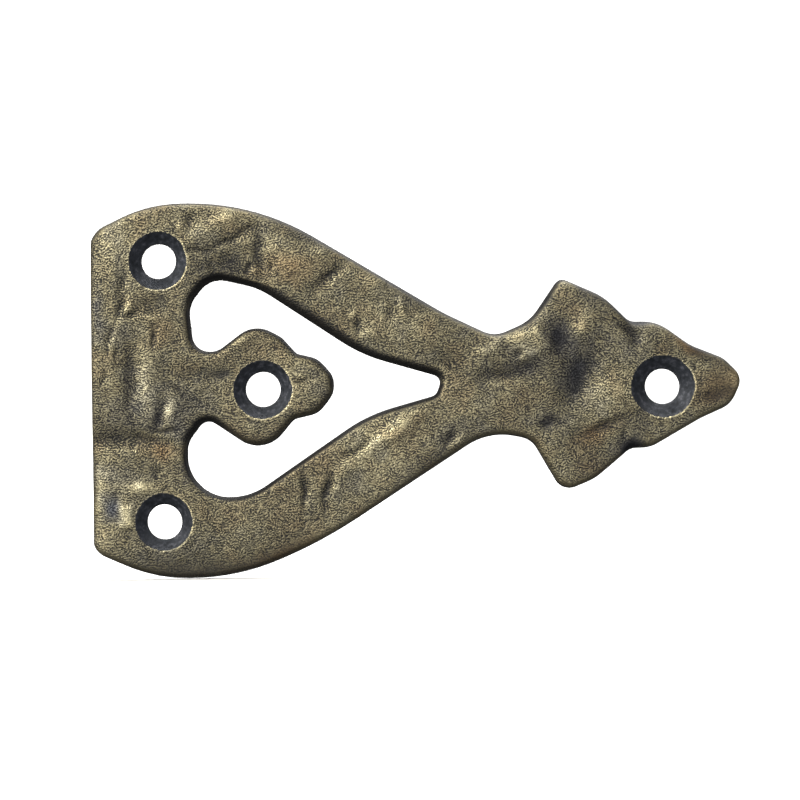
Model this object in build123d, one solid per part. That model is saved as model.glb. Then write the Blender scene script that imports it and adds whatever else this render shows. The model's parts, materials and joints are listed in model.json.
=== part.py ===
from build123d import *
import os

# Decorative hinge front: a one-piece sand-cast plate with the look of a strap hinge, screwed to a door beside
# a plain butt hinge. X runs along the strap from the straight butt edge to the tip, Z is up and the show face
# looks along -Y. The origin is the middle of the butt edge on the flat back, which lies in the plane Y = 0.
# Lengths are in millimetres and angles in degrees.

# Driving dimensions of the casting.
plate_thickness = 4.0
draft_angle = 5.0
edge_rounding = 0.9
butt_allowance = 0.4

# Countersunk holes for the fixing screws, each as (x, z) of its centre and the radius of its countersink at the
# show face. The hole in the head was sunk a little deeper than the others.
screw_bore_radius = 2.75
countersink_angle = 90.0
screw_holes = {
    "upper butt corner": (10.6, 20.3, 4.7),
    "lower butt corner": (11.1, -20.6, 4.7),
    "tongue": (26.8, 0.0, 4.7),
    "head": (89.5, -0.3, 5.0),
}

# Corners of the outline at the back, as (x, z, radius), clockwise as seen from the front. The two sides differ
# a little, because the pattern was carved by hand.
outer_corners = [
    # butt edge, with the allowance that is dressed off it
    (-butt_allowance, -25.2, 3.4),
    (-butt_allowance, 24.9, 4.4),
    # upper arm, from its round shoulder down to the neck
    (9.2, 29.5, 22.0),
    (25.8, 29.5, 38.0),
    (55.3, 11.7, 25.0),
    (63.2, 7.9, 4.2),
    # upper barb of the head, and the small lobe in front of it
    (68.8, 10.3, 7.0),
    (73.5, 17.1, 1.5),
    (80.5, 14.0, 10.0),
    (84.5, 10.0, 2.0),
    (88.8, 10.0, 7.0),
    # tip
    (94.0, 6.2, 8.0),
    (99.2, 4.1, 3.5),
    (102.3, 1.0, 2.6),
    (100.3, -3.3, 4.0),
    (95.5, -5.4, 10.0),
    # small lobe and lower barb of the head
    (87.6, -9.9, 5.0),
    (84.4, -10.0, 2.0),
    (78.8, -14.7, 8.0),
    (73.6, -16.8, 2.6),
    (68.8, -8.4, 3.4),
    # lower arm, from the neck back to its round shoulder
    (62.2, -7.0, 10.0),
    (35.9, -24.0, 75.0),
    (22.4, -29.6, 36.0),
    (9.4, -29.5, 24.0),
]

# Corners of the heart-shaped gap at the back, in the same form.
gap_corners = [
    # upper lobe of the heart
    (16.0, 6.1, 2.6),
    (15.25, 13.3, 4.4),
    (18.7, 17.65, 3.9),
    (26.2, 15.9, 12.0),
    (42.3, 5.2, 25.0),
    # point of the heart
    (54.9, 1.5, 1.2),
    (53.9, -1.2, 1.2),
    # lower lobe
    (43.1, -4.2, 25.0),
    (24.5, -16.8, 9.8),
    (14.6, -16.8, 6.5),
    (14.9, -8.2, 4.0),
    (17.8, -4.4, 1.7),
    # three lobes of the tongue, from the bottom up
    (26.8, -10.5, 4.9),
    (31.6, -4.8, 1.0),
    (35.5, -3.9, 3.5),
    (38.0, -0.7, 3.5),
    (37.9, 2.0, 3.0),
    (35.4, 4.8, 3.5),
    (32.1, 5.6, 1.0),
    (29.8, 8.2, 3.0),
    (25.5, 10.5, 4.5),
    (19.6, 6.1, 2.8),
]


def rounded_face(corners):
    """A flat face with straight sides and a tangent arc at every corner."""
    points = [(x, z) for x, z, radius in corners]
    radii = [radius for x, z, radius in corners]
    return make_face(FilletPolyline(*points, radius=radii, close=True))


def drafted_plate():
    """The casting as it leaves the sand: widest at the back, with the gap widest at the front."""
    outline = Plane.XZ * (rounded_face(outer_corners) - rounded_face(gap_corners))
    return extrude(outline, amount=plate_thickness, taper=draft_angle)


def dress_butt_edge(plate):
    """Cuts the butt edge flat and square, so that it lines up with a hinge knuckle."""
    return split(plate, bisect_by=Plane.YZ, keep=Keep.TOP)


def round_front_edges(plate):
    """Rounds the edges of the show face, outside and round the gap."""
    show_face = plate.faces().sort_by(Axis.Y)[0]
    return fillet(show_face.edges(), edge_rounding)


def countersunk_hole(x, z, countersink_radius):
    """The metal that a drill and a countersink take out, from the show face to the back."""
    on_show_face = Plane(origin=(x, -plate_thickness, z), x_dir=(1, 0, 0), z_dir=(0, -1, 0))
    cutter = CounterSinkHole(
        radius=screw_bore_radius,
        counter_sink_radius=countersink_radius,
        depth=plate_thickness,
        counter_sink_angle=countersink_angle,
    )
    return on_show_face * cutter


hinge_front = drafted_plate()
hinge_front = dress_butt_edge(hinge_front)
hinge_front = round_front_edges(hinge_front)
for x, z, countersink_radius in screw_holes.values():
    hinge_front -= countersunk_hole(x, z, countersink_radius)
hinge_front.label = "hinge_front_plate"

os.makedirs("parts", exist_ok=True)
export_step(hinge_front, "parts/hinge_front_plate.step")
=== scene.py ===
import json
import math

import bmesh
import bpy
import numpy as np
from mathutils import Matrix, Quaternion, Vector, kdtree, noise


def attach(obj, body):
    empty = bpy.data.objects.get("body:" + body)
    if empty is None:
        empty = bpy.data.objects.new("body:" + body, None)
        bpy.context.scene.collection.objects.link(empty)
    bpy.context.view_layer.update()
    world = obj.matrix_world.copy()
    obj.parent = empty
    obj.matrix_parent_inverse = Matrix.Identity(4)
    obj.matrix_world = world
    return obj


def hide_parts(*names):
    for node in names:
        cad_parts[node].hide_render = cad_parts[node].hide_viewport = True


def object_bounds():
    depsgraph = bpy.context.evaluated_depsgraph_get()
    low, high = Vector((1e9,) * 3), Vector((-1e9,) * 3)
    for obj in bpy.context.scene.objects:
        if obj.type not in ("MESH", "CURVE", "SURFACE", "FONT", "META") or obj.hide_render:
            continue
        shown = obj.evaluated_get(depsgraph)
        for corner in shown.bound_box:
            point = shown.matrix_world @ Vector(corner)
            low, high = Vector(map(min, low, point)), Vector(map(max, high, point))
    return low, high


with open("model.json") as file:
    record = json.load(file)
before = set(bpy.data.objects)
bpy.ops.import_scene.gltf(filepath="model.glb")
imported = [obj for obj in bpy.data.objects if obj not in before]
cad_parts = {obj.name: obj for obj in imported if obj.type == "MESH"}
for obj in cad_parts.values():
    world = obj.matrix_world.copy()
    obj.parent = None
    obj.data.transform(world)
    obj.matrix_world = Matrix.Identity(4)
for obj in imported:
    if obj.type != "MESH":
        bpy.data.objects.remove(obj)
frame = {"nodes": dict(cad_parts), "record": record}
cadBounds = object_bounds()
cadLow, cadHigh = cadBounds
mm = 0.001
print("frame loaded", [round(v / mm, 1) for v in (*cadLow, *cadHigh)])

scene = bpy.context.scene


def hexColour(code):  # sRGB hex to the linear colour that shaders and lights take
    parts = [int(code[i:i + 2], 16) / 255 for i in (1, 3, 5)]
    return [p / 12.92 if p <= 0.04045 else ((p + 0.055) / 1.055) ** 2.4 for p in parts] + [1.0]


def addNode(tree, kind, settings=None, links=None):
    # a setting is a socket, by name or number, a property of the node, or a ramp's stops
    node = tree.nodes.new(kind)
    for name, value in (settings or {}).items():
        if name == "stops":
            ramp = node.color_ramp.elements
            while len(ramp) < len(value):
                ramp.new(0.5)
            for stop, (place, code) in zip(ramp, value):
                stop.position = place
                stop.color = hexColour(code)
        elif isinstance(name, int) or name in node.inputs:
            node.inputs[name].default_value = value
        else:
            setattr(node, name, value)
    for name, socket in (links or {}).items():
        tree.links.new(socket, node.inputs[name])
    return node


def newObject(name, mesh):
    made = bpy.data.objects.new(name, mesh)
    scene.collection.objects.link(made)
    return made


def applyModifiers(piece):
    graph = bpy.context.evaluated_depsgraph_get()
    done = bpy.data.meshes.new_from_object(
        piece.evaluated_get(graph), preserve_all_data_layers=True, depsgraph=graph
    )
    piece.modifiers.clear()
    piece.data = done


# The hinge front: one hammered sand casting with four countersunk holes

plate = {
    "node": "hinge_front_plate",
    "voxel": 0.26,  # mm between vertices on the show face
    "showLevel": -4.0,  # mm, the plane that the highest bumps reach
    "deepest": 1.4,  # mm under that plane
    "markStrength": 1.25,  # on the depths of all the marks below
    "meanDepth": 0.5,  # mm from that plane to the average of the hammered face
    "lumpSizes": ((8.0, 0.14), (3.2, 0.06), (1.5, 0.01)),  # mm across, mm high
    "wobble": 0.55,  # mm that the hammer strokes wander from straight
    "wobbleSize": 2.6,
    "ringReach": 1.3,  # mm round a point, where its surroundings are felt
    "grainSize": 0.75,  # mm, sand grain that shows in the form of the casting
    "grainHeight": 0.010,
    "edgeDrop": 0.10,  # mm that the face falls at its outline
    "edgeReach": 0.7,
    "heartDrop": 0.5,  # more under the upper side of the heart, where the pattern was cut back
    "heartReach": 0.65,
    "wallBand": (-2.6, -1.2),  # mm, the height of the side walls that edges are measured from
    "backKeep": 0.3,  # share of the triangles kept, the flat back gives up the rest
    "seed": 11,
}

# Hammer marks, listed one by one: x, z, half length, half width in mm, turn of the long side in
# degrees, depth in mm, a bump where it is negative
hammerMarks = [
    # butt side, from the top down
    (-0.6, 22.0, 5.0, 2.6, 90, 0.55),
    (-0.5, 26.5, 5.0, 3.0, 45, 0.60),
    (5.0, 17.0, 3.0, 0.9, 86, 0.30),
    (4.8, 12.8, 1.6, 0.5, 68, 0.26),
    (5.8, 12.8, 1.4, 0.4, 68, -0.20),
    (9.8, 13.2, 2.2, 1.3, 0, 0.24),
    (6.3, 12.0, 1.4, 0.4, 20, 0.30),
    (9.3, 11.5, 1.3, 0.45, 0, -0.16),
    (2.9, 8.6, 1.5, 0.5, 74, 0.22),
    (3.8, 8.0, 1.4, 0.4, 80, -0.18),
    (9.8, 8.3, 1.9, 0.5, 92, 0.28),
    (4.0, 5.3, 1.9, 0.5, 90, 0.20),
    (1.9, 2.0, 1.2, 0.3, 55, 0.18),
    (6.0, 1.5, 5.0, 1.3, 90, 0.55),
    (9.4, 0.8, 5.5, 1.5, 92, -0.20),
    (16.0, 2.4, 4.5, 1.4, 0, 0.22),
    (20.6, 2.2, 1.3, 0.9, 0, 0.22),
    (13.2, 0.3, 2.2, 0.4, -34, 0.20),
    (10.4, -4.0, 1.9, 0.8, 78, 0.42),
    (12.5, -3.4, 2.2, 1.3, 82, -0.30),
    (11.5, -6.2, 2.4, 0.35, 0, 0.28),
    (3.5, -7.6, 4.2, 1.5, 0, 0.46),
    (9.5, -7.8, 3.5, 1.0, 0, 0.24),
    (-0.6, -11.0, 2.0, 2.4, 90, 0.30),
    (7.2, -9.8, 0.8, 0.3, 90, -0.16),
    (10.4, -13.0, 0.8, 0.7, 0, 0.16),
    (8.2, -15.2, 1.7, 0.9, 5, -0.30),
    (3.4, -17.6, 2.2, 1.2, 80, 0.20),
    (-0.6, -17.0, 8.5, 1.9, 90, 0.70),
    (14.0, -29.5, 14.0, 3.4, 0, 0.42),
    (28.0, -27.0, 7.0, 2.6, 25, 0.26),
    # upper shoulder
    (15.8, 26.8, 0.9, 0.8, 0, 0.28),
    (14.0, 25.6, 0.7, 0.7, 0, -0.15),
    (16.9, 21.9, 2.2, 0.35, -5, 0.22),
    (21.5, 23.2, 2.8, 0.5, 28, 0.32),
    (24.8, 24.8, 1.6, 0.8, 15, 0.28),
    (19.0, 25.2, 4.6, 1.3, 25, -0.22),
    (21.7, 27.0, 1.3, 0.9, 10, -0.18),
    (21.8, 20.4, 3.2, 1.7, 0, 0.28),
    (24.9, 19.0, 0.9, 0.45, 70, 0.30),
    (19.1, 19.9, 0.6, 0.4, 60, 0.20),
    (26.2, 18.5, 0.5, 0.5, 0, -0.16),
    (28.1, 18.9, 0.9, 0.35, 90, 0.20),
    (26.6, 21.5, 3.4, 0.8, 92, 0.34),
    (31.6, 20.5, 4.4, 3.2, -35, -0.50),
    (36.0, 21.0, 1.6, 1.2, -30, -0.20),
    # upper arm
    (37.0, 17.3, 2.8, 0.9, 42, 0.42),
    (44.5, 16.3, 2.6, 1.4, -32, -0.22),
    (46.7, 16.0, 0.8, 0.3, 95, 0.14),
    (41.0, 11.6, 0.5, 0.4, 0, -0.26),
    (41.9, 10.0, 0.8, 0.6, 50, 0.28),
    (43.8, 8.5, 1.2, 0.9, -20, -0.20),
    (48.8, 12.8, 1.8, 0.6, 100, -0.22),
    (46.9, 11.4, 1.3, 0.6, 80, 0.20),
    (51.5, 9.2, 2.4, 2.0, -45, -0.18),
    (55.8, 4.4, 2.6, 1.5, -30, 0.24),
    # lower arm
    (33.1, -15.8, 2.9, 0.55, 88, 0.38),
    (36.9, -15.8, 2.5, 0.8, 82, 0.46),
    (38.2, -16.0, 0.9, 0.7, 0, -0.20),
    (44.6, -2.6, 8.0, 1.9, 26, 0.50),
    (47.2, -6.9, 4.4, 1.2, 38, -0.52),
    (41.0, -10.0, 2.8, 0.5, 34, 0.26),
    (39.3, -12.6, 3.2, 1.6, 35, -0.20),
    (55.9, -8.0, 1.3, 0.8, 45, 0.40),
    (57.2, -8.7, 1.6, 0.5, 35, -0.22),
    # tongue
    (23.3, 7.7, 1.6, 0.9, 25, -0.20),
    (24.6, -6.1, 1.5, 0.8, -20, -0.16),
    (32.9, 1.3, 1.0, 0.3, 0, 0.30),
    # waist
    (60.2, 2.8, 4.0, 0.9, 41, -0.10),
    (61.3, 5.4, 1.5, 0.9, 35, -0.20),
    (63.2, 6.2, 1.6, 0.8, 60, -0.16),
    (65.5, 2.1, 5.8, 1.2, 5, 0.36),
    (66.8, 4.9, 0.9, 0.7, 60, 0.40),
    # barb and the small lobe in front of it
    (69.9, 12.8, 3.6, 1.7, 54, 0.28),
    (72.8, 17.4, 1.6, 1.4, 45, 0.45),
    (76.9, 9.2, 2.4, 1.7, 60, -0.36),
    (76.2, 1.2, 4.4, 2.4, 62, 0.66),
    (73.5, 7.4, 2.6, 1.7, 95, 0.40),
    (81.8, -1.6, 4.0, 2.8, 30, -0.32),
    (84.9, 8.0, 2.4, 1.0, 105, 0.46),
    (83.8, 9.0, 2.0, 0.6, -33, 0.24),
    (71.5, -5.9, 1.4, 1.0, 10, 0.34),
    (80.2, -6.5, 3.4, 0.7, 24, 0.36),
    (75.3, -5.8, 0.5, 0.5, 0, -0.16),
    (84.6, -9.6, 1.5, 0.9, 0, 0.45),
    (83.2, -7.8, 0.9, 0.4, 90, 0.24),
    # tip
    (97.6, -1.8, 3.2, 1.1, 10, 0.24),
    (97.0, 3.8, 2.6, 0.8, -20, 0.16),
]
# Raised and sunk panels with steep sides, in the same terms
panels = [
    (5.3, -19.8, 1.2, 1.8, 0, -0.30),
    (68.6, 6.6, 3.0, 2.3, 25, -0.36),
]

# Where the finish differs, and where light and shade are painted in: x, z, half length, half
# width, turn, share of the sand grain dressed away, change of wear and of painted light and shade,
# warmth of the tone
finishPatches = [
    # broad fields first, most of them painted light and shade: lighter at the top left toward the
    # key light, a painted highlight over the lower arm, painted light on the tip and bottom edges
    # that turn away from the key, painted shade along the upper arm's outer edge
    (4.0, 22.5, 5.5, 4.5, 0, 0.0, 0.15, 0.0),
    (0.8, -17.0, 0.9, 8.5, 0, 0.3, 0.20, 0.0),
    (8.4, 1.5, 1.3, 5.0, 0, 0.0, 0.10, 0.0),
    (19.5, 18.8, 7.0, 1.8, 0, 0.0, -0.20, 0.0),
    (32.0, 24.6, 6.0, 1.4, -28, 0.0, -0.14, 0.0),
    (46.0, 10.0, 5.5, 3.2, -32, 0.0, 0.14, 0.0),
    (30.0, 1.5, 5.5, 4.5, 0, 0.0, 0.12, 0.0),
    (45.5, -9.6, 6.0, 4.2, 36, 0.0, 0.22, 0.0),
    (53.4, -11.0, 5.0, 1.4, 36, 0.2, -0.20, 0.0),
    (65.0, 2.9, 5.0, 1.3, 5, 0.0, -0.12, -0.2),
    (79.0, 14.0, 5.0, 1.6, -32, 0.0, -0.12, 0.0),
    (79.0, -12.0, 4.0, 2.4, 30, 0.0, -0.12, 0.2),
    (4.5, -17.5, 4.5, 2.6, 90, 0.0, 0.10, 0.0),
    (88.6, 8.4, 2.6, 1.2, -15, 0.0, 0.10, 0.0),
    (101.2, 0.0, 1.2, 3.4, 0, 0.0, 0.28, 0.1),
    (36.0, -22.0, 5.0, 1.6, 32, 0.0, 0.10, 0.0),
    (81.6, -0.5, 2.6, 3.6, 0, 0.0, 0.08, 0.0),
    (9.5, -5.5, 7.0, 2.2, 0, 0.0, -0.12, -0.1),
    (15.0, -1.6, 2.5, 2.2, 0, 0.0, -0.14, -0.2),
    (7.0, 1.6, 5.0, 3.0, 0, 0.0, 0.07, 0.0),
    (21.5, 27.0, 3.4, 1.2, 0, 0.0, 0.10, 0.0),
    (59.0, -2.6, 5.0, 1.8, 0, 0.0, 0.08, 0.0),
    (80.4, 0.6, 1.8, 2.4, 0, 0.0, -0.05, 0.0),
    (67.8, 7.2, 3.2, 2.0, 25, 0.0, 0.08, -0.1),
    (74.2, 16.2, 1.3, 1.0, -30, 0.0, 0.16, 0.0),
    (94.5, -6.6, 6.0, 1.2, 24, 0.0, 0.16, 0.0),
    (52.6, 13.4, 4.5, 1.0, -34, 0.3, -0.16, 0.0),
    (20.0, -18.5, 8.0, 2.8, 0, 0.0, 0.06, 0.0),
    (84.6, -5.4, 3.2, 1.6, 15, 0.0, -0.12, -0.1),
    (73.6, -13.0, 2.2, 3.4, 25, 0.0, 0.10, 0.0),
    # then the small ones
    (69.7, 13.4, 4.2, 1.5, 54, 0.8, -0.46, -0.5),
    (84.4, 11.0, 2.6, 0.9, -38, 1.0, -0.40, -0.8),
    (84.4, -9.7, 1.7, 1.1, 15, 1.0, -0.60, -0.8),
    (95.0, 5.4, 2.0, 1.1, -25, 0.8, -0.28, 0.4),
    (93.4, 6.2, 2.6, 1.2, -35, 0.3, 0.06, 1.0),
    (97.4, -2.0, 2.6, 1.2, 20, 0.3, -0.12, 0.6),
    (98.8, 0.2, 2.6, 3.4, 0, 0.45, -0.14, 0.3),
    (79.0, -7.4, 3.2, 1.8, 20, 0.1, -0.08, 0.9),
    (16.0, -28.3, 13.0, 1.8, 0, 0.7, -0.22, 0.1),
    (30.0, -25.4, 6.0, 1.3, 28, 0.7, -0.14, 0.6),
    (46.0, 17.8, 10.0, 1.3, -32, 0.6, -0.14, 0.0),
    (3.2, -18.4, 1.4, 2.4, 0, 0.2, 0.0, -0.7),
    (5.5, -19.8, 1.3, 1.7, 0, 0.4, 0.20, 0.0),
    (8.2, -15.0, 1.8, 1.0, 0, 0.5, 0.18, 0.0),
    (12.4, -3.4, 1.0, 2.0, 0, 0.3, 0.14, 0.0),
    (75.8, 1.2, 3.4, 2.3, 60, 0.1, -0.17, -0.7),
    (73.6, 7.2, 2.6, 2.1, 90, 0.1, -0.24, -0.5),
    (71.2, -5.6, 1.6, 1.2, 10, 0.1, -0.14, -0.3),
    (11.4, -9.4, 2.4, 1.6, 0, 0.0, 0.0, 0.9),
    (31.0, 19.5, 3.0, 2.0, -30, 0.2, 0.0, 0.7),
    (1.2, 12.5, 0.9, 3.4, 0, 0.0, 0.0, -0.7),
    (20.6, 2.2, 2.4, 1.2, 0, 0.3, -0.10, -0.2),
]


def ease(value, low, high):
    part = np.clip((value - low) / (high - low), 0, 1)
    return part * part * (3 - 2 * part)


def markShape(x, z, mark, power):
    atX, atZ, long, wide, turn, depth = mark
    angle = math.radians(turn)
    along = (x - atX) * math.cos(angle) + (z - atZ) * math.sin(angle)
    across = (z - atZ) * math.cos(angle) - (x - atX) * math.sin(angle)
    return depth * np.exp(-np.abs(along / long) ** power - np.abs(across / wide) ** power)


def noiseAt(x, z, size, shift):
    # one seeded value between about -1 and 1 for each vertex, size mm across
    move = plate["seed"] * 7.3 + shift
    return np.array([noise.noise(Vector((a / size + move, b / size, move))) for a, b in zip(x, z)])


def markDepth(x, z):
    strokes = sum(markShape(x, z, mark, 2) for mark in hammerMarks)
    return plate["markStrength"] * (strokes + sum(markShape(x, z, mark, 6) for mark in panels))


def screwHoles():
    return [m for m in frame["record"]["mounts"] if m["kind"] == "bore"]


countersink = {
    "radius": 5.0,  # mm at the show level
    "tipExtra": 0.35,  # the hole at the tip was sunk a little deeper
    "tipFrom": 80.0,  # mm along, past which a hole is at the tip
    "plugMargin": 0.3,  # mm of metal put back outside it before the face is hammered
    "slope": 1.0,  # mm of radius for each mm of depth, a 90 degree cone
    "segments": 128,
}


def headRadius(hole):
    atTip = hole["pos_m"][0] > countersink["tipFrom"] * mm
    return countersink["radius"] + (countersink["tipExtra"] if atTip else 0)


def pluggedCopy():
    # the casting before drilling: the CAD solid with its holes stopped
    built = bmesh.new()
    built.from_mesh(frame["nodes"][plate["node"]].data)
    bmesh.ops.remove_doubles(built, verts=built.verts, dist=0.001 * mm)
    thickness = -plate["showLevel"] * mm
    for hole in screwHoles():
        place = Matrix.Translation((hole["pos_m"][0], -thickness / 2, hole["pos_m"][2]))
        radius = (headRadius(hole) + countersink["plugMargin"]) * mm
        bmesh.ops.create_cone(
            built,
            cap_ends=True,
            segments=48,
            radius1=radius,
            radius2=radius,
            depth=thickness,
            matrix=place @ Matrix.Rotation(math.radians(90), 4, "X"),
        )
    mesh = bpy.data.meshes.new("hingeFront")
    built.to_mesh(mesh)
    built.free()
    return newObject("hingeFront", mesh)


def readPoints(mesh):
    places = np.empty(len(mesh.vertices) * 3, np.float32)
    facing = np.empty(len(mesh.vertices) * 3, np.float32)
    mesh.vertices.foreach_get("co", places)
    mesh.vertex_normals.foreach_get("vector", facing)
    return places.reshape(-1, 3).astype(float), facing.reshape(-1, 3).astype(float)


def storeValue(mesh, name, values):
    layer = mesh.attributes.new(name, "FLOAT", "POINT")
    layer.data.foreach_set("value", np.asarray(values, np.float32))


# Where the heart gap and its tongue lie, in mm along and up
heart = {
    "ends": (14.0, 56.0),
    "halfHeight": 18.5,
    "taperStart": 20.0,
    "taper": 0.3,  # half height lost for each mm along
    "tongueRoot": (19.5, 23.0),
    "tongueTop": 1.0,
    "archGrows": (24.0, 32.0),  # the painted shade band under the upper side is widest in between
    "archShrinks": (38.0, 44.0),
}

# How far the blacking is rubbed away, with painted shade under the heart's upper side: 0 is all
# blacking, 1 is bare metal
wearAndShade = {
    "face": 0.585,
    "sunk": 0.6,  # less for each mm under what lies round it
    "deep": 0.2,  # less for each mm under the average
    "drift": 0.06,
    "driftSize": 6.0,  # mm
    "rim": 0.42,
    "rimReach": (0.2, 1.0),  # mm from the edge
    "rimTurn": 0.06,  # less where the edge turns up, more where it turns down
    "rimShare": 0.75,
    "blackLine": 0.22,  # less in a line along the edges that turn up
    "blackLineHeart": 0.28,
    "lineReach": (0.15, 0.42),
    "arch": 0.5,  # less under the upper side of the heart: painted shade where the edge turns down, away from the light
    "archReach": (0.3, 1.2),
    "wall": -0.25,
    "wallFoot": 0.2,
    "back": 0.5,  # the linished back, rubbed all over
}


def readEdges(x, y, z, facing):
    # for each vertex: mm to the nearest side wall, and what kind of edge that is
    low, high = plate["wallBand"]
    walls = np.where((np.abs(facing[:, 1]) < 0.35) & (y > low) & (y < high))[0]
    tree = kdtree.KDTree(len(walls))
    for number, index in enumerate(walls):
        tree.insert(Vector((x[index], 0, z[index])), number)
    tree.balance()
    nearest = [tree.find(Vector((a, 0, b))) for a, b in zip(x, z)]
    wallFacing = facing[walls[[found[1] for found in nearest]]]
    left, up = -wallFacing[:, 0], wallFacing[:, 2]
    heartStart, heartEnd = heart["ends"]
    taper = heart["taper"] * np.maximum(x - heart["taperStart"], 0)
    inHeart = (x > heartStart) & (x < heartEnd) & (np.abs(z) < heart["halfHeight"] - taper)
    onTongue = ease(x, *heart["tongueRoot"]) * (z < heart["tongueTop"])
    return {
        "away": np.array([found[2] for found in nearest]),
        "up": up,
        "isButt": ease(left, 0.8, 0.97),
        # edges facing left, toward the key light, and not upwards: a painted highlight keeps them
        # bright
        "wornAndLit": ease(left, 0.6, 0.85) * ease(-up, -0.25, 0),
        "inHeart": inHeart,
        "onTongue": onTongue,
        "underArch": ease(-up, 0.1, 0.7) * inHeart * (1 - 0.7 * onTongue),
    }


def sculptPlate(piece):
    mesh = piece.data
    places, facing = readPoints(mesh)
    x, y, z = (places / mm).T
    edge = readEdges(x, y, z, facing)
    away = edge["away"]
    drop = plate["edgeDrop"] * np.exp(-((away / plate["edgeReach"]) ** 2)) * (1 - edge["isButt"])
    drop += plate["heartDrop"] * edge["underArch"] * np.exp(-((away / plate["heartReach"]) ** 2))

    bentX = x + plate["wobble"] * noiseAt(x, z, plate["wobbleSize"], 61)
    bentZ = z + plate["wobble"] * noiseAt(x, z, plate["wobbleSize"], 67)
    marks = markDepth(bentX, bentZ)
    ring = plate["ringReach"]
    angles = (0.5, 2.1, 3.6, 5.2)
    around = sum(
        markDepth(bentX + ring * math.cos(a), bentZ + ring * math.sin(a)) for a in angles
    ) / len(angles)
    depth = plate["meanDepth"] + marks
    for number, (size, height) in enumerate(plate["lumpSizes"]):
        depth += height * noiseAt(x, z, size, 20 * number)
    depth = (depth + np.sqrt(depth * depth + 0.004)) / 2  # a soft stop at the top plane
    grain = noiseAt(x, z, plate["grainSize"], 3) + 0.5 * noiseAt(x, z, plate["grainSize"] / 2, 9)
    level = depth + drop + plate["grainHeight"] * (0.5 + grain)
    inFront = ease(-y, 1.2, 3.3)  # 1 on the show face, 0 down the walls
    places[:, 1] += np.clip(level, 0, plate["deepest"]) * inFront * mm
    mesh.vertices.foreach_set("co", places.astype(np.float32).ravel())
    mesh.update()

    rubFinish(mesh, (x, y, z), (bentX, bentZ), edge, inFront, marks - around, depth)
    markRims(mesh, x, places[:, 1] / mm, z)
    print("relief", round(level.min(), 2), "to", round(level.max(), 2), "mm")


def rubFinish(mesh, place, bent, edge, inFront, sunk, depth):
    # stores how far each vertex is rubbed, with painted light and shade added in, how much sand
    # grain it keeps, and its warmth
    x, y, z = place
    away, up, inHeart = edge["away"], edge["up"], edge["inHeart"]
    # walls that face left, toward the key light, take the show face's colour: a painted highlight
    # on those edges
    faceShare = np.maximum(inFront, np.maximum(edge["isButt"], edge["wornAndLit"]) * ease(-y, 0.6, 2.4))
    onBack = ease(y, -0.35, -0.05)
    litEdge = ease(up, 0.3, 0.7) * inHeart * (1 - edge["onTongue"])  # the lower arm's upper edge, which faces the light: painted highlight, the rim there is left bright
    rim = (1 - ease(away, *wearAndShade["rimReach"])) * (1 - edge["wornAndLit"]) * (1 - 0.8 * litEdge)
    archReach = 1 + 0.6 * ease(x, *heart["archGrows"]) * (1 - ease(x, *heart["archShrinks"]))
    arch = 1 - ease(away / archReach, *wearAndShade["archReach"])
    lineStart, lineEnd = wearAndShade["lineReach"]
    lineEnds = lineEnd + 0.2 * edge["onTongue"] * inHeart
    blackLine = (1 - ease(away, lineStart, lineEnds)) * ease(up, -0.3, 0.2)

    dressed, wearAndLightChange = 0, 0
    warmth = 0.45 * noiseAt(x, z, 5.0, 43) + 0.25 * noiseAt(x, z, 1.6, 47)
    for *outline, grainLoss, moreWearAndLight, warm in finishPatches:
        share = markShape(*bent, (*outline, 1), 2)
        dressed = dressed + grainLoss * share
        wearAndLightChange = wearAndLightChange + moreWearAndLight * share
        warmth = warmth + warm * share

    deep = depth - plate["meanDepth"]
    wear = wearAndShade["face"] - wearAndShade["sunk"] * sunk - wearAndShade["deep"] * deep
    wear += wearAndShade["drift"] * noiseAt(x, z, wearAndShade["driftSize"], 31) + wearAndLightChange
    rimWear = wearAndShade["rim"] - wearAndShade["rimTurn"] * up
    wear += (rimWear - wear + wearAndLightChange) * wearAndShade["rimShare"] * rim
    lineDepth = wearAndShade["blackLine"] + wearAndShade["blackLineHeart"] * inHeart
    wear -= lineDepth * blackLine * (1 - edge["wornAndLit"])
    # painted shade: a dark band under the upper side of the heart, where its edge turns down from
    # the light
    wear -= wearAndShade["arch"] * arch * edge["underArch"]
    wallWear = wearAndShade["wall"] + wearAndShade["wallFoot"] * ease(y, -2.8, -1.8)
    wallWear = wallWear + wearAndShade["back"] * onBack
    storeValue(mesh, "wear", faceShare * wear + (1 - faceShare) * wallWear)
    storeValue(mesh, "sandGrain", np.clip(1 - 0.85 * rim - dressed, 0.1, 1) * (1 - 0.5 * onBack))
    storeValue(mesh, "warmth", 0.5 + 0.5 * np.clip(warmth, -1, 1))


def markRims(mesh, x, level, z):
    # how far outside the nearest countersink, and whether its rim turns to the light there, which
    # sets a painted highlight on the rim
    rimGap, catch = np.full(len(x), 9.0), np.zeros(len(x))
    for hole in screwHoles():
        besideX, besideZ = x - hole["pos_m"][0] / mm, z - hole["pos_m"][2] / mm
        reach = np.hypot(besideX, besideZ)
        gap = reach - headRadius(hole) + (level - plate["showLevel"]) * countersink["slope"]
        near = gap < rimGap
        rimGap = np.where(near, gap, rimGap)
        catch = np.where(near, (0.8 * besideX - 0.6 * besideZ) / np.maximum(reach, 1), catch)
    storeValue(mesh, "rimGap", rimGap)
    storeValue(mesh, "rimCatch", ease(catch, -0.2, 0.7) + 0.15)


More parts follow.
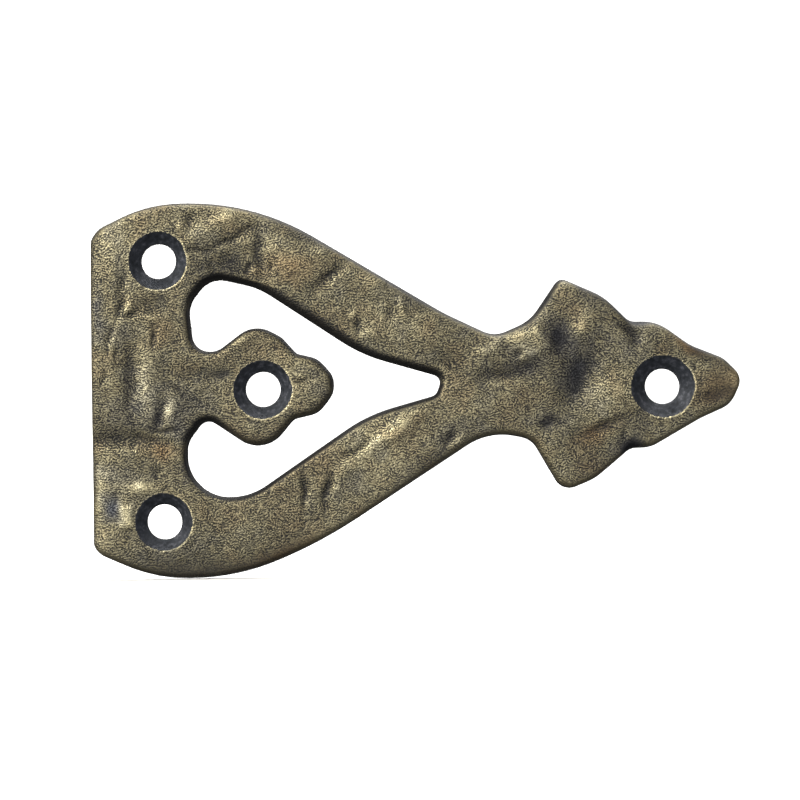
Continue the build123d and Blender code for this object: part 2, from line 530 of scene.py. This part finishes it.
def drillCutter():
    # one cutter: a straight drill with a 90 degree rose above it, at each screw hole
    built = bmesh.new()
    for hole in screwHoles():
        bore = hole["dims"]["r_mm"]
        coneEnd = plate["showLevel"] + (headRadius(hole) - bore) / countersink["slope"]
        top = plate["showLevel"] - 1.0
        wide = headRadius(hole) + countersink["slope"]
        outline = [(0, top), (wide, top), (bore, coneEnd), (bore, 1.0), (0, 1.0)]
        corners = [
            built.verts.new((hole["pos_m"][0] + r * mm, y * mm, hole["pos_m"][2]))
            for r, y in outline
        ]
        edges = [built.edges.new(pair) for pair in zip(corners, corners[1:])]
        bmesh.ops.spin(
            built,
            geom=corners + edges,
            cent=(hole["pos_m"][0], 0, hole["pos_m"][2]),
            axis=(0, 1, 0),
            angle=math.tau,
            steps=countersink["segments"],
            use_merge=True,
        )
    bmesh.ops.remove_doubles(built, verts=built.verts, dist=0.001 * mm)
    bmesh.ops.recalc_face_normals(built, faces=built.faces)
    mesh = bpy.data.meshes.new("drill")
    built.to_mesh(mesh)
    built.free()
    return newObject("drill", mesh)


def lightenBack(piece):
    mesh = piece.data
    places = readPoints(mesh)[0]
    flat = piece.vertex_groups.new(name="flatBack")
    inside = np.where(places[:, 1] > -0.02 * mm)[0]
    flat.add([int(i) for i in inside], 1.0, "REPLACE")
    thin = piece.modifiers.new("thin", "DECIMATE")
    thin.vertex_group = "flatBack"
    thin.ratio = 1 - (1 - plate["backKeep"]) * len(inside) / len(mesh.vertices)
    applyModifiers(piece)


def buildPlate():
    piece = pluggedCopy()
    cast = piece.modifiers.new("cast", "REMESH")
    cast.mode = "VOXEL"
    cast.voxel_size = plate["voxel"] * mm
    cast.use_smooth_shade = True
    applyModifiers(piece)
    print("cast", len(piece.data.vertices), "vertices")
    sculptPlate(piece)
    lightenBack(piece)
    print("back thinned", len(piece.data.polygons), "faces")

    cutter = drillCutter()
    piece.data.materials.append(antiqueBrass())
    cutter.data.materials.append(blackenedCountersink())
    drilled = piece.modifiers.new("drilled", "BOOLEAN")
    drilled.operation = "DIFFERENCE"
    drilled.solver = "EXACT"
    drilled.object = cutter
    drilled.material_mode = "TRANSFER"
    applyModifiers(piece)
    bpy.data.objects.remove(cutter)
    print("drilled", len(piece.data.polygons), "faces", [m.name for m in piece.data.materials])
    return piece


# Materials

brassTones = {
    "blacking": "#151413",  # sulphide left in the pits and corners
    "olive": "#47443C",
    "khaki": "#857E66",  # brass rubbed back to dull metal
    "wornAndLit": "#CBC19C",  # the highest worms and edges, and painted highlights
    "cool": "#BECBFF",  # violet-grey of thick blacking
    "warm": "#FFE8DA",  # pink, where the blacking went on thin
    "worm": 0.38,  # mm from one worm of the grain to the next
    "stroke": 0.9,  # mm, the waves that bend the worms
    "speck": 0.16,  # mm
}


def antiqueBrass():
    # sand-cast brass, blackened and rubbed back: dull khaki worms over near-black pits
    made = bpy.data.materials.new("antiqueBrassSandCast")
    made.use_nodes = True
    tree = made.node_tree
    tree.nodes.clear()
    place = addNode(tree, "ShaderNodeTexCoord").outputs["Object"]
    stored = {
        name: addNode(tree, "ShaderNodeAttribute", {"attribute_name": name}).outputs["Fac"]
        for name in ("wear", "sandGrain", "warmth", "rimGap", "rimCatch")
    }
    wander = addNode(
        tree, "ShaderNodeTexNoise",
        {"Scale": 1 / (brassTones["stroke"] * mm), "Detail": 1.0, "Roughness": 0.5},
        {"Vector": place},
    ).outputs
    bent = addNode(
        tree, "ShaderNodeVectorMath", {"operation": "MULTIPLY_ADD", 1: (0.6 * mm,) * 3},
        {0: wander["Color"], 2: place},
    ).outputs["Vector"]
    worms = addNode(
        tree, "ShaderNodeTexGabor",
        {"gabor_type": "3D", "Scale": 1 / (2 * brassTones["worm"] * mm), "Frequency": 2.0,
         "Anisotropy": 0.0},
        {"Vector": bent},
    ).outputs["Value"]
    specks = addNode(
        tree, "ShaderNodeTexNoise",
        {"Scale": 1 / (brassTones["speck"] * mm), "Detail": 2.0, "Roughness": 0.6},
        {"Vector": place},
    ).outputs["Fac"]

    # pits are the short strokes between the worms, which a slower noise opens and closes
    valleys = addNode(
        tree, "ShaderNodeMapRange",
        {"From Min": 0.60, "From Max": 0.38, "To Min": 0.0, "To Max": 1.0},
        {"Value": worms},
    ).outputs["Result"]
    opened = addNode(
        tree, "ShaderNodeMapRange",
        {"From Min": 0.30, "From Max": 0.56, "To Min": 0.45, "To Max": 1.0},
        {"Value": wander["Fac"]},
    ).outputs["Result"]
    strokes = addNode(
        tree, "ShaderNodeMath", {"operation": "MULTIPLY"}, {0: valleys, 1: opened}
    ).outputs[0]
    pits = addNode(
        tree, "ShaderNodeMath", {"operation": "MULTIPLY"}, {0: strokes, 1: stored["sandGrain"]}
    ).outputs[0]
    # a bright line round each countersink rim: rubbed bare a little all round, with a painted
    # highlight on the lower right, where the rim turns to the light
    rimLine = addNode(
        tree, "ShaderNodeMapRange",
        {"From Min": 0.12, "From Max": 0.34, "To Min": 1.0, "To Max": 0.0},
        {"Value": stored["rimGap"]},
    ).outputs["Result"]
    rubbedAndLitRim = addNode(
        tree, "ShaderNodeMath", {"operation": "MULTIPLY"}, {0: rimLine, 1: stored["rimCatch"]}
    ).outputs[0]
    wear = stored["wear"]
    for fine, share, middle in (
        (pits, -0.50, 0.10), (worms, 0.3, 0.5), (specks, 0.5, 0.5), (rubbedAndLitRim, 0.95, 0.0),
    ):
        centred = addNode(tree, "ShaderNodeMath", {"operation": "SUBTRACT", 1: middle}, {0: fine})
        wear = addNode(
            tree, "ShaderNodeMath",
            {"operation": "MULTIPLY_ADD", 1: share},
            {0: centred.outputs[0], 2: wear},
        ).outputs[0]
    rubbed = addNode(
        tree, "ShaderNodeValToRGB",
        {"stops": [
            (0.0, brassTones["blacking"]), (0.28, brassTones["olive"]),
            (0.6, brassTones["khaki"]), (1.0, brassTones["wornAndLit"]),
        ]},
        {"Fac": wear},
    ).outputs["Color"]
    tone = addNode(
        tree, "ShaderNodeValToRGB",
        {"stops": [(0.0, brassTones["cool"]), (0.5, "#FFFFFF"), (1.0, brassTones["warm"])]},
        {"Fac": stored["warmth"]},
    ).outputs["Color"]
    colour = addNode(
        tree, "ShaderNodeMix",
        {"data_type": "RGBA", "blend_type": "MULTIPLY", 0: 1.0},
        {6: rubbed, 7: tone},
    ).outputs[2]
    metal = addNode(
        tree, "ShaderNodeMapRange",
        {"From Min": 0.0, "From Max": 0.45, "To Min": 0.15, "To Max": 1.0},
        {"Value": wear},
    ).outputs["Result"]
    roughness = addNode(
        tree, "ShaderNodeMapRange",
        {"From Min": 0.0, "From Max": 1.0, "To Min": 0.70, "To Max": 0.56},
        {"Value": wear},
    ).outputs["Result"]
    height = addNode(
        tree, "ShaderNodeMath",
        {"operation": "MULTIPLY_ADD", 1: -2.8},
        {0: pits, 2: specks},
    ).outputs[0]
    bump = addNode(
        tree, "ShaderNodeBump",
        {"Strength": 0.9, "Distance": 0.034 * mm},
        {"Height": height},
    ).outputs["Normal"]
    shader = addNode(
        tree, "ShaderNodeBsdfPrincipled",
        {"Specular IOR Level": 0.3},
        {"Base Color": colour, "Metallic": metal, "Roughness": roughness, "Normal": bump},
    )
    addNode(tree, "ShaderNodeOutputMaterial", {}, {"Surface": shader.outputs["BSDF"]})
    return made


def blackenedCountersink():
    # drilled brass, blackened: smooth dark cone with faint grey mottling
    made = bpy.data.materials.new("blackenedDrilledBrass")
    made.use_nodes = True
    tree = made.node_tree
    tree.nodes.clear()
    place = addNode(tree, "ShaderNodeTexCoord").outputs["Object"]
    mottle = addNode(
        tree, "ShaderNodeTexNoise",
        {"Scale": 1 / (0.8 * mm), "Detail": 3.0, "Roughness": 0.6},
        {"Vector": place},
    ).outputs["Fac"]
    colour = addNode(
        tree, "ShaderNodeValToRGB",
        {"stops": [(0.3, "#1A1D21"), (0.55, "#33363C"), (0.8, "#626269")]},
        {"Fac": mottle},
    ).outputs["Color"]
    shader = addNode(
        tree, "ShaderNodeBsdfPrincipled",
        {"Metallic": 0.3, "Roughness": 0.5},
        {"Base Color": colour},
    )
    addNode(tree, "ShaderNodeOutputMaterial", {}, {"Surface": shader.outputs["BSDF"]})
    return made


hingeFront = buildPlate()
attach(hingeFront, "root")
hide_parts(plate["node"])
print("plate in place")

# Studio: a pale sweep, soft lights and a long lens square to the plate

studio = {
    "floorGap": 0.05,  # mm under the lowest point
    "radius": 1.9,  # m from the middle of the floor to the wall
    "bend": 0.7,  # m
    "wallTop": 2.4,  # m
    "paper": "#F6F5F3",
    "ambient": 0.16,
}


def buildSweep():
    # a round paper sweep, one profile turned about the upright axis through the plate
    floorLevel = cadLow[2] - studio["floorGap"] * mm
    middle = (cadLow + cadHigh) / 2
    built = bmesh.new()
    centre = built.verts.new((middle.x, 0, floorLevel))
    bendStart = built.verts.new((middle.x + studio["radius"] - studio["bend"], 0, floorLevel))
    built.edges.new((centre, bendStart))
    curved = bmesh.ops.spin(
        built,
        geom=[bendStart],
        cent=(bendStart.co.x, 0, floorLevel + studio["bend"]),
        axis=(0, -1, 0),
        angle=math.radians(90),
        steps=16,
    )["geom_last"]
    wallFoot = [v for v in curved if isinstance(v, bmesh.types.BMVert)][0]
    wallTop = built.verts.new((wallFoot.co.x, 0, studio["wallTop"]))
    built.edges.new((wallFoot, wallTop))
    bmesh.ops.spin(
        built,
        geom=built.verts[:] + built.edges[:],
        cent=(middle.x, 0, 0),
        axis=(0, 0, 1),
        angle=math.tau,
        steps=96,
        use_merge=True,
    )
    bmesh.ops.remove_doubles(built, verts=built.verts, dist=0.1 * mm)
    bmesh.ops.recalc_face_normals(built, faces=built.faces)
    for face in built.faces:
        face.smooth = True
    mesh = bpy.data.meshes.new("sweep")
    built.to_mesh(mesh)
    built.free()
    paper = bpy.data.materials.new("mattPaper")
    paper.use_nodes = True
    shader = paper.node_tree.nodes["Principled BSDF"]
    shader.inputs["Base Color"].default_value = hexColour(studio["paper"])
    shader.inputs["Roughness"].default_value = 0.9
    mesh.materials.append(paper)
    sweep = newObject("sweep", mesh)
    sweep.visible_glossy = False  # so that the metal mirrors only the lamps
    sweep.visible_diffuse = False
    sweep.visible_shadow = False


lights = {
    # name: place in m, aim in m, size in m, watts, colour
    "keyUpperLeft": ((-0.68, -0.84, 0.58), (0.05, 0, 0), 0.5, 26, "#FFFDF8"),
    "lowerRightFill": ((0.8, -0.95, -0.4), (0.05, 0, 0), 0.8, 5, "#F4F7FF"),
    "backFill": ((0.5, 0.7, 0.9), (0.05, 0, 0), 0.6, 8, "#FFFFFF"),
    "wallWash": ((0.0, 0.35, 1.9), (0.0, 1.2, 0.1), 1.2, 70, "#FFFFFF"),
}


def buildLights():
    for name, (place, aim, size, power, code) in lights.items():
        lamp = bpy.data.lights.new(name, "AREA")
        lamp.shape = "DISK"
        lamp.size = size
        lamp.energy = power
        lamp.color = hexColour(code)[:3]
        made = newObject(name, lamp)
        made.location = place
        made.rotation_euler = (Vector(aim) - Vector(place)).to_track_quat("-Z", "Y").to_euler()
    world = bpy.data.worlds.new("studioAir")
    world.use_nodes = True
    sky = world.node_tree.nodes["Background"]
    sky.inputs["Color"].default_value = hexColour("#F4F4F4")
    sky.inputs["Strength"].default_value = studio["ambient"]
    scene.world = world
    scene.view_settings.view_transform = "Standard"


lens = {
    "distance": 0.45,  # m from the back face
    "width": 0.126,  # m across the frame at the back face
    "aim": (-2.63, -1.9),  # mm from the middle of the plate, right and up
    "tilt": 0.6,  # degrees, looking slightly upwards
    "roll": -0.72,  # degrees
}


def buildCamera():
    data = bpy.data.cameras.new("camera")
    data.lens = data.sensor_width * lens["distance"] / lens["width"]
    data.clip_start = 0.01
    camera = newObject("camera", data)
    middle = (cadLow + cadHigh) / 2
    target = Vector((middle.x + lens["aim"][0] * mm, 0, middle.z + lens["aim"][1] * mm))
    tilt = math.radians(lens["tilt"])
    camera.location = target - lens["distance"] * Vector((0, math.cos(tilt), math.sin(tilt)))
    level = (target - camera.location).to_track_quat("-Z", "Y")
    camera.rotation_mode = "QUATERNION"
    camera.rotation_quaternion = level @ Quaternion((0, 0, 1), math.radians(lens["roll"]))
    scene.camera = camera


buildSweep()
buildLights()
buildCamera()
